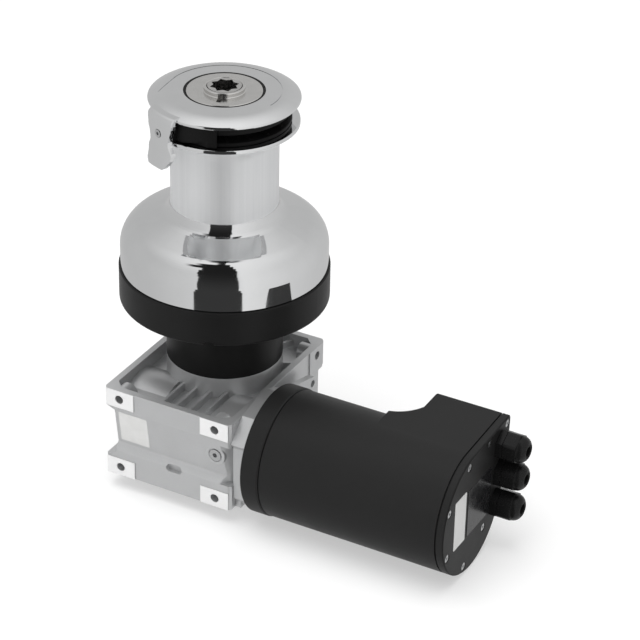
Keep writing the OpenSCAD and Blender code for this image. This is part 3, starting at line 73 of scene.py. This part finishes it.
class Nodes:
    """A small helper to build a material's node tree."""

    def __init__(self, name):
        self.material = bpy.data.materials.new(name)
        self.material.use_nodes = True
        self.tree = self.material.node_tree
        self.tree.nodes.clear()
        self.out = self.new("OutputMaterial")
        self.shader = self.new("BsdfPrincipled")
        self.link(self.shader.outputs[0], self.out.inputs[0])
        self.place = self.new("TexCoord").outputs["Object"]
        self.bumps = []

    def new(self, kind):
        return self.tree.nodes.new("ShaderNode" + kind)

    def link(self, source, target):
        self.tree.links.new(source, target)

    def put(self, value, target):
        """Links a socket, or sets a number or colour, on an input."""
        if isinstance(value, bpy.types.NodeSocket):
            self.link(value, target)
        elif isinstance(value, tuple) and len(value) == 3 and target.type == "RGBA":
            target.default_value = (*value, 1)
        else:
            target.default_value = value

    def math(self, kind, a, b=0.0, c=0.0):
        node = self.new("Math")
        node.operation = kind
        for value, target in zip((a, b, c), node.inputs):
            self.put(value, target)
        return node.outputs[0]

    def axes(self):
        node = self.new("SeparateXYZ")
        self.link(self.place, node.inputs[0])
        return node.outputs

    def combined(self, x=0.0, y=0.0, z=0.0):
        node = self.new("CombineXYZ")
        for value, target in zip((x, y, z), node.inputs):
            self.put(value, target)
        return node.outputs[0]

    def scaled(self, scale):
        node = self.new("Mapping")
        self.link(self.place, node.inputs[0])
        node.inputs["Scale"].default_value = scale
        return node.outputs[0]

    def noise(self, scale, detail=3.0, rough=0.55, stretch=(1, 1, 1), vector=None):
        node = self.new("TexNoise")
        self.link(vector or self.scaled(stretch), node.inputs["Vector"])
        node.inputs["Scale"].default_value = scale
        node.inputs["Detail"].default_value = detail
        node.inputs["Roughness"].default_value = rough
        return node.outputs["Fac"]

    def cells(self, scale):
        node = self.new("TexVoronoi")
        self.link(self.place, node.inputs["Vector"])
        node.inputs["Scale"].default_value = scale
        return node.outputs["Distance"]

    def span(self, value, low, high, to_low=0.0, to_high=1.0):
        """Smooth step of a value from one range to another."""
        node = self.new("MapRange")
        node.interpolation_type = "SMOOTHSTEP"
        numbers = {"Value": value, "From Min": low, "From Max": high,
                   "To Min": to_low, "To Max": to_high}
        for name, number in numbers.items():
            self.put(number, node.inputs[name])
        return node.outputs["Result"]

    def spread(self, value, to_low, to_high):
        """The middle of a noise, spread over a range."""
        return self.span(value, 0.3, 0.7, to_low, to_high)

    def mix(self, factor, a, b):
        """Mixes two colours."""
        node = self.new("Mix")
        node.data_type = "RGBA"
        self.put(factor, node.inputs["Factor"])
        self.put(a, node.inputs[6])
        self.put(b, node.inputs[7])
        return node.outputs[2]

    def blend(self, factor, a, b):
        """Mixes two numbers."""
        node = self.new("Mix")
        self.put(factor, node.inputs["Factor"])
        self.put(a, node.inputs[2])
        self.put(b, node.inputs[3])
        return node.outputs[0]

    def mix_shaders(self, factor, a, b):
        node = self.new("MixShader")
        for value, target in zip((factor, a, b), node.inputs):
            self.put(value, target)
        self.link(node.outputs[0], self.out.inputs[0])

    def bump(self, height, depth, strength=1.0):
        """Adds one layer of relief, with its depth in metres."""
        node = self.new("Bump")
        node.inputs["Distance"].default_value = depth
        self.put(strength, node.inputs["Strength"])
        self.link(height, node.inputs["Height"])
        if self.bumps:
            self.link(self.bumps[-1], node.inputs["Normal"])
        self.bumps.append(node.outputs[0])

    def round_edges(self, radius):
        node = self.new("Bevel")
        node.samples = 4
        node.inputs["Radius"].default_value = radius
        self.bumps.append(node.outputs[0])

    def set(self, **values):
        for key, value in values.items():
            self.put(value, self.shader.inputs[SOCKETS[key]])
        if self.bumps:
            self.link(self.bumps[-1], self.shader.inputs["Normal"])
        return self.material


# Height in metres over which the polish turns into brushed lines, at the barrel's foot and head
BARREL_FOOT = (0.0915, 0.0930)
BARREL_HEAD = (0.1650, 0.1665)
STREAKS_ROUND, BANDS_ROUND = 420.0, 70.0


def polished_drum():
    """Mirror polish on skirt and lip, straight brushed lines up the barrel."""
    m = Nodes("drum_polish")
    x, y, z = m.axes()
    barrel = m.math("MULTIPLY", m.span(z, *BARREL_FOOT), m.span(z, *BARREL_HEAD, 1.0, 0.0))
    turn = m.math("DIVIDE", m.math("ARCTAN2", y, x), 2 * math.pi)

    def lines(per_turn, up, detail, rough):
        place = m.combined(x=m.math("MULTIPLY", turn, per_turn), z=m.math("MULTIPLY", z, up))
        return m.noise(1.0, detail, rough, vector=place)

    streaks = lines(STREAKS_ROUND, 6.0, 4.0, 0.7)
    bands = lines(BANDS_ROUND, 3.0, 2.0, 0.5)
    half = m.math("MULTIPLY", barrel, 0.5)
    m.bump(m.blend(0.4, streaks, bands), 0.00018, half)
    haze = m.noise(60.0, 4.0)
    fine = m.noise(900.0, 2.0, stretch=(1, 1, 0.06))
    m.bump(fine, 0.00001, 0.06)
    polish_tone = m.mix(haze, (0.70, 0.705, 0.71), (0.75, 0.755, 0.76))
    brushed_tone = m.mix(m.blend(0.5, streaks, bands), (0.66, 0.67, 0.68), (0.86, 0.865, 0.87))
    return m.set(color=m.mix(barrel, polish_tone, brushed_tone),
                 metal=m.math("SUBTRACT", 1.0, half),
                 rough=m.blend(barrel, m.spread(haze, 0.035, 0.075), m.spread(streaks, 0.40, 0.55)))


def polished_cast(name):
    """Polished casting of the crown with its feeder arm."""
    m = Nodes(name)
    haze = m.noise(70.0, 4.0)
    m.bump(m.noise(45.0, 2.0), 0.00006, 0.25)
    m.bump(m.noise(1100.0, 2.0), 0.00001, 0.3)
    tone = m.mix(haze, (0.72, 0.725, 0.73), (0.77, 0.775, 0.78))
    return m.set(color=tone, metal=1.0, rough=m.spread(haze, 0.05, 0.10))


RINGS_PER_METRE = 2600.0


def turned_metal(name, dark, light, rough):
    """Metal faced on a lathe: fine rings about the winch axis and a little stain."""
    m = Nodes(name)
    x, y, z = m.axes()
    radius = m.math("SQRT", m.math("ADD", m.math("MULTIPLY", x, x), m.math("MULTIPLY", y, y)))
    place = m.combined(x=m.math("MULTIPLY", radius, RINGS_PER_METRE),
                       y=m.math("MULTIPLY", z, RINGS_PER_METRE))
    rings = m.noise(1.0, 2.0, 0.6, vector=place)
    m.bump(rings, 0.00004, 0.35)
    stain = m.noise(140.0, 4.0)
    return m.set(color=m.mix(stain, dark, light), metal=1.0,
                 rough=m.spread(m.blend(0.5, rings, stain), *rough))


CAST_METALLIC, MILLED_METALLIC = 0.65, 0.2


def cast_metal(name, dark, light, milled_front=None, rough=(0.38, 0.55)):
    """Blasted aluminium casting with a grain and soft flow marks, and milled pads at its front."""
    m = Nodes(name)
    m.round_edges(0.0008)
    y = m.axes()[1]
    grain = m.noise(1500.0, 3.0, 0.7)
    flow = m.noise(38.0, 4.0, 0.6)
    m.bump(flow, 0.0004, 0.25)
    m.bump(grain, 0.00010, 0.4)
    tone = m.mix(m.blend(0.6, flow, grain), dark, light)
    pits = m.span(grain, 0.25, 0.45, 0.2, 0.0)
    tone = m.mix(pits, tone, tuple(0.6 * v for v in dark))
    gloss = m.spread(grain, *rough)
    metallic = CAST_METALLIC
    if milled_front is not None:
        milled = m.span(y, milled_front + 0.0004, milled_front + 0.0002)
        passes = m.noise(1.0, 2.0, 0.6, vector=m.scaled((30, 1, 2600)))
        tone = m.mix(milled, tone, m.mix(passes, (0.86, 0.86, 0.86), (0.92, 0.92, 0.92)))
        metallic = m.span(milled, 0.0, 1.0, CAST_METALLIC, MILLED_METALLIC)
        gloss = m.blend(milled, gloss, m.spread(passes, 0.32, 0.42))
    return m.set(color=tone, metal=metallic, rough=gloss)


def black_coat(name, tone, rough, grain_scale, grain_depth, edge=0.0006, specular=0.18):
    """Black coating with a fine grain, soft unevenness and slightly worn gloss."""
    m = Nodes(name)
    m.round_edges(edge)
    grain = m.noise(grain_scale, 3.0, 0.65)
    wave = m.noise(28.0, 3.0)
    m.bump(wave, 0.0003, 0.12)
    m.bump(grain, grain_depth, 0.5)
    low, high = tone
    return m.set(color=m.mix(m.blend(0.5, grain, wave), (low,) * 3, (high,) * 3), metal=0.0,
                 rough=m.span(m.blend(0.35, grain, wave), 0.35, 0.65, *rough),
                 specular=specular)


def metal(name, dark, light, rough, scale=260.0):
    """Bare metal with a stain and a very fine grain."""
    m = Nodes(name)
    stain = m.noise(scale, 4.0)
    m.bump(m.noise(2200.0, 2.0), 0.00003, 0.4)
    return m.set(color=m.mix(stain, dark, light), metal=1.0, rough=m.spread(stain, *rough))


def board_coat():
    """Lacquer of the circuit board over a woven base with darker tracks."""
    m = Nodes("circuit_board_lacquer")
    weave = m.noise(900.0, 2.0)
    tracks = m.span(m.cells(260.0), 0.2, 0.3)
    m.bump(weave, 0.00004, 0.4)
    tone = m.mix(tracks, (0.02, 0.10, 0.05), (0.035, 0.17, 0.09))
    return m.set(color=tone, metal=0.0, rough=m.spread(weave, 0.25, 0.4))


def plate_finish(name, low, high, rough):
    """Printed film of a bare plate, a little worn."""
    m = Nodes(name)
    wear = m.noise(90.0, 4.0)
    m.bump(m.noise(1200.0, 3.0), 0.00002, 0.3)
    return m.set(color=m.mix(wear, low, high), metal=0.0, rough=m.spread(wear, *rough))


finish = {
    "drum": polished_drum(),
    "crown": polished_cast("crown_polish"),
    "cap": turned_metal("cap_nickel", (0.60, 0.595, 0.58), (0.70, 0.69, 0.675), (0.16, 0.26)),
    "head": turned_metal("shaft_head_steel", (0.50, 0.49, 0.48), (0.66, 0.655, 0.64),
                         (0.18, 0.30)),
    "casting": cast_metal("gearbox_casting", (0.51, 0.515, 0.52), (0.65, 0.655, 0.66),
                          BOX_FRONT, (0.30, 0.42)),
    "light_casting": cast_metal("light_casting", (0.62, 0.625, 0.63), (0.80, 0.805, 0.81)),
    "base": black_coat("base_black", (0.009, 0.014), (0.32, 0.44), 1400.0, 0.00006,
                       specular=0.12),
    "jaw": black_coat("jaw_black", (0.006, 0.010), (0.35, 0.5), 1800.0, 0.00004, 0.0003, 0.10),
    "motor": black_coat("motor_coat", (0.011, 0.019), (0.40, 0.52), 2300.0, 0.00008, 0.0009),
    "gland": black_coat("gland_plastic", (0.006, 0.011), (0.20, 0.30), 900.0, 0.00002, 0.0004),
    "steel": metal("ground_steel", (0.50, 0.505, 0.51), (0.66, 0.665, 0.67), (0.22, 0.36)),
    "bronze": metal("bronze", (0.52, 0.34, 0.15), (0.72, 0.52, 0.27), (0.25, 0.4)),
    "copper": metal("copper_wire", (0.50, 0.22, 0.10), (0.72, 0.36, 0.20), (0.3, 0.45), 900.0),
    "rubber": black_coat("seal_rubber", (0.006, 0.010), (0.55, 0.7), 1600.0, 0.00005, 0.0002),
    "board": board_coat(),
}

# Nodes of each finish. All others are of ground steel
USES = {
    "drum": ["drum"],
    "crown": ["self_tailing_arm"],
    "cap": ["top_cap"],
    "head": ["main_shaft"],
    "casting": ["gearbox_housing", "gearbox_cover", "motor_adapter"],
    "light_casting": ["centre_stem", "rear_bearing_plate", "worm_end_cap"],
    "base": ["winch_base", "deck_collar"],
    "jaw": ["upper_jaw", "lower_jaw", "rope_stripper", "thrust_washer"],
    "motor": ["motor_flange", "motor_housing", "end_cover"],
    "gland": ["gland_bodies", "gland_nuts"],
    "bronze": ["upper_shaft_bush", "lower_shaft_bush", "upper_bearing_cage",
               "lower_bearing_cage", "worm_wheel"],
    "copper": ["motor_windings"],
    "rubber": ["cap_seal_ring", "oil_seals", "gland_seals"],
    "board": ["controller_board"],
}
named = {node: key for key, group in USES.items() for node in group}
for name, obj in nodes.items():
    obj.data.materials.clear()
    obj.data.materials.append(finish[named.get(name, "steel")])

# ---------------------------------------------------------------- bare plates

PLATE_THICK = 0.0004
PLATE_CORNER = 0.001
CORNER_STEPS = 6
# Columns are local x, y and z: x and y run across and up the face, z points out of it
FACING_FRONT = Matrix(((1, 0, 0), (0, 0, -1), (0, 1, 0)))
FACING_MOTOR_END = Matrix(((0, 0, 1), (1, 0, 0), (0, 1, 0)))


def plate(name, centre, width, height, facing, material, lean=0.0):
    """A thin bare plate with round corners that lies flat on a face of the frame."""
    mesh = bpy.data.meshes.new(name)
    bm = bmesh.new()
    across, up = width / 2 - PLATE_CORNER, height / 2 - PLATE_CORNER
    corners = []
    for cx, cy, start in ((1, 1, 0), (-1, 1, 90), (-1, -1, 180), (1, -1, 270)):
        for step in range(CORNER_STEPS + 1):
            a = math.radians(start + step * 90 / CORNER_STEPS)
            corners.append((cx * across + PLATE_CORNER * math.cos(a),
                            cy * up + PLATE_CORNER * math.sin(a)))
    face = bm.faces.new([bm.verts.new((u, v, 0)) for u, v in corners])
    top = bmesh.ops.extrude_face_region(bm, geom=[face])
    raised = [g for g in top["geom"] if isinstance(g, bmesh.types.BMVert)]
    bmesh.ops.translate(bm, verts=raised, vec=(0, 0, PLATE_THICK))
    rim = [e for e in bm.edges if all(v in raised for v in e.verts)]
    bmesh.ops.bevel(bm, geom=rim, offset=PLATE_THICK * 0.4, segments=2, affect="EDGES",
                    profile=0.5)
    bmesh.ops.recalc_face_normals(bm, faces=bm.faces)
    bm.to_mesh(mesh)
    bm.free()
    obj = bpy.data.objects.new(name, mesh)
    bpy.context.collection.objects.link(obj)
    tilt = Matrix.Rotation(lean, 4, "X")
    obj.matrix_world = Matrix.Translation(centre) @ tilt @ facing.to_4x4()
    mesh.materials.append(material)
    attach(obj, "frame")


def add_plates():
    """Bare plates where the photo has a label."""
    pale = plate_finish("bare_plate_pale", (0.62, 0.62, 0.61), (0.74, 0.74, 0.73), (0.32, 0.45))
    dark = plate_finish("bare_plate_dark", (0.010, 0.010, 0.011), (0.018, 0.018, 0.019),
                        (0.18, 0.3))
    # The gearbox wall has a draft, so its plate leans with it
    plate("gearbox_plate", (-0.0355, -0.09529, -0.101), 0.029, 0.031, FACING_FRONT, pale,
          lean=math.radians(8.13))
    plate("cover_plate_pale", (COVER_X, -0.0755, -0.103), 0.021, 0.048, FACING_MOTOR_END, pale)
    plate("cover_plate_dark", (COVER_X, -0.039, -0.104), 0.044, 0.046, FACING_MOTOR_END, dark)


# ---------------------------------------------------------------- light and camera

CAM_AZ, CAM_EL, CAM_ROLL = (math.radians(a) for a in (28.14, 30.47, 1.19))
CAM_PLACE = (0.98125, -1.65703, 1.10615)
LENS, SENSOR = 142.7, 36.0
FLOOR_Z = LOWEST - 0.0005
FLOOR_SIZE = 60
FLOOR_WHITE = 0.45
WORLD_LEVEL = 0.5

# The studio wall is seen by mirror finishes only. Its azimuths are in degrees from the front,
# anticlockwise seen from above
FRONT_AZ = math.radians(-59.4)
ROOM_R = 6.0
# Grey of the wall by place round the room: 0.5 is the front, 0 and 1 are the back
WALL_GREYS = ((0.0, 0.56), (0.25, 0.62), (0.375, 0.72), (0.5, 0.86), (0.56, 0.95), (0.64, 0.86),
              (0.70, 0.78), (0.80, 0.70), (0.88, 0.64), (1.0, 0.56))
CURTAIN_LEFT, CURTAIN_RIGHT = -28.5, 14.5
CURTAIN_EDGE = 0.6
CLOTH_LOW, CLOTH_HIGH = 0.046, 0.016


def add_camera():
    data = bpy.data.cameras.new("camera")
    data.lens, data.sensor_width = LENS, SENSOR
    data.clip_end = 50.0
    obj = bpy.data.objects.new("camera", data)
    bpy.context.collection.objects.link(obj)
    ahead = Vector((-math.sin(CAM_AZ) * math.cos(CAM_EL), math.cos(CAM_AZ) * math.cos(CAM_EL),
                    -math.sin(CAM_EL)))
    right = Vector((math.cos(CAM_AZ), math.sin(CAM_AZ), 0))
    up = right.cross(ahead)
    turned_right = math.cos(CAM_ROLL) * right + math.sin(CAM_ROLL) * up
    turned_up = math.cos(CAM_ROLL) * up - math.sin(CAM_ROLL) * right
    rotation = Matrix((turned_right, turned_up, -ahead)).transposed()
    obj.matrix_world = Matrix.Translation(CAM_PLACE) @ rotation.to_4x4()
    bpy.context.scene.camera = obj


def wall_emission():
    """Grey studio walls with a dark curtain in front, brighter overhead."""
    m = Nodes("studio_wall_grey")
    x, y, z = m.axes()
    flat = m.math("SQRT", m.math("ADD", m.math("MULTIPLY", x, x), m.math("MULTIPLY", y, y)))
    azimuth = m.math("MULTIPLY", m.math("ARCTAN2", y, x), 180 / math.pi)
    height = m.math("MULTIPLY", m.math("ARCTAN2", z, flat), 180 / math.pi)
    ramp = m.new("ValToRGB")
    stops = ramp.color_ramp.elements
    while len(stops) < len(WALL_GREYS):
        stops.new(0.5)
    for stop, (place, grey) in zip(stops, WALL_GREYS):
        stop.position, stop.color = place, (grey, grey, grey, 1)
    m.link(m.math("MULTIPLY_ADD", azimuth, 1 / 360, 0.5), ramp.inputs[0])
    # The curtain spreads a little at the top and at the foot
    left = m.math("ADD", m.span(height, 20, 55, CURTAIN_LEFT, CURTAIN_LEFT - 8.5),
                  m.span(height, -18, -30, 0.0, -5.5))
    right = m.math("ADD", m.span(height, 35, 60, CURTAIN_RIGHT, CURTAIN_RIGHT + 4.0),
                   m.span(height, -18, -30, 0.0, 4.5))
    past_left = m.span(m.math("SUBTRACT", azimuth, left), -CURTAIN_EDGE, CURTAIN_EDGE)
    before_right = m.span(m.math("SUBTRACT", azimuth, right), -CURTAIN_EDGE, CURTAIN_EDGE,
                          1.0, 0.0)
    inside = m.math("MULTIPLY", past_left, before_right)
    # Above 58 degrees it reaches further to the left
    over_width = m.math("MULTIPLY", m.span(azimuth, -75, -60),
                        m.span(azimuth, 14, 20, 1.0, 0.0))
    over = m.math("MULTIPLY", m.span(height, 58, 64), over_width)
    curtain = m.math("MAXIMUM", inside, over)
    cloth = m.span(height, -30, 60, CLOTH_LOW, CLOTH_HIGH)
    walls = m.mix(m.span(height, 30, 85), ramp.outputs[0], (1.0, 1.0, 1.0))
    glow = m.new("Emission")
    m.link(m.mix(curtain, walls, cloth), glow.inputs["Color"])
    m.link(glow.outputs[0], m.out.inputs[0])
    return m.material


def add_studio_wall():
    mesh = bpy.data.meshes.new("studio_wall")
    bm = bmesh.new()
    bmesh.ops.create_uvsphere(bm, u_segments=64, v_segments=32, radius=ROOM_R)
    bmesh.ops.reverse_faces(bm, faces=bm.faces)
    bm.to_mesh(mesh)
    bm.free()
    wall = bpy.data.objects.new("studio_wall", mesh)
    bpy.context.collection.objects.link(wall)
    wall.rotation_euler = (0, 0, FRONT_AZ)
    mesh.materials.append(wall_emission())
    wall.visible_camera = False
    wall.visible_diffuse = False
    wall.visible_shadow = False
    wall.visible_transmission = False
    wall.visible_volume_scatter = False


def floor_paper():
    """Pale paper, partly white for the camera, so a share of the object's shadow stays."""
    m = Nodes("floor_paper")
    m.bump(m.noise(400.0, 3.0), 0.0001, 0.1)
    tone = m.mix(m.noise(6.0), (0.97, 0.97, 0.97), (1.0, 1.0, 1.0))
    material = m.set(color=tone, metal=0.0, rough=0.9)
    seen = m.new("LightPath").outputs["Is Camera Ray"]
    white = m.new("Emission")
    m.mix_shaders(m.math("MULTIPLY", seen, FLOOR_WHITE), m.shader.outputs[0], white.outputs[0])
    return material


def add_floor():
    mesh = bpy.data.meshes.new("floor")
    h = FLOOR_SIZE / 2
    mesh.from_pydata([(-h, -h, 0), (h, -h, 0), (h, h, 0), (-h, h, 0)], [], [(0, 1, 2, 3)])
    mesh.materials.append(floor_paper())
    floor = bpy.data.objects.new("floor", mesh)
    bpy.context.collection.objects.link(floor)
    floor.visible_glossy = False
    floor.location = (0, 0, FLOOR_Z)


def add_world():
    """White where the camera, metal or glass sees it, a plain level as light on the object."""
    world = bpy.data.worlds.new("studio")
    bpy.context.scene.world = world
    world.use_nodes = True
    tree = world.node_tree
    tree.nodes.clear()
    out = tree.nodes.new("ShaderNodeOutputWorld")
    back = tree.nodes.new("ShaderNodeBackground")
    back.inputs["Color"].default_value = (1, 1, 1, 1)
    path = tree.nodes.new("ShaderNodeLightPath")
    seen = path.outputs["Is Camera Ray"]
    for kind in ("Is Glossy Ray", "Is Transmission Ray"):
        either = tree.nodes.new("ShaderNodeMath")
        either.operation = "MAXIMUM"
        tree.links.new(seen, either.inputs[0])
        tree.links.new(path.outputs[kind], either.inputs[1])
        seen = either.outputs[0]
    level = tree.nodes.new("ShaderNodeMapRange")
    level.inputs["To Min"].default_value = WORLD_LEVEL
    level.inputs["To Max"].default_value = 1.0
    tree.links.new(seen, level.inputs["Value"])
    tree.links.new(level.outputs["Result"], back.inputs["Strength"])
    tree.links.new(back.outputs[0], out.inputs[0])


def area_lamp(name, place, target, side, power):
    """A square lamp that mirror finishes don't show."""
    data = bpy.data.lights.new(name, "AREA")
    data.shape, data.size, data.energy = "SQUARE", side, power
    obj = bpy.data.objects.new(name, data)
    bpy.context.collection.objects.link(obj)
    obj.visible_glossy = False
    turn = (Vector(target) - Vector(place)).to_track_quat("-Z", "Y").to_matrix()
    obj.matrix_world = Matrix.Translation(place) @ turn.to_4x4()


bpy.context.scene.view_settings.view_transform = "Standard"
add_camera()
add_floor()
add_world()
add_studio_wall()
area_lamp("overhead", (-0.3, -0.4, 3.0), (0, 0, 0), 3.0, 92)
area_lamp("front_fill", (0.6, -2.6, 0.9), (0.05, 0, -0.05), 1.2, 9)
add_plates()
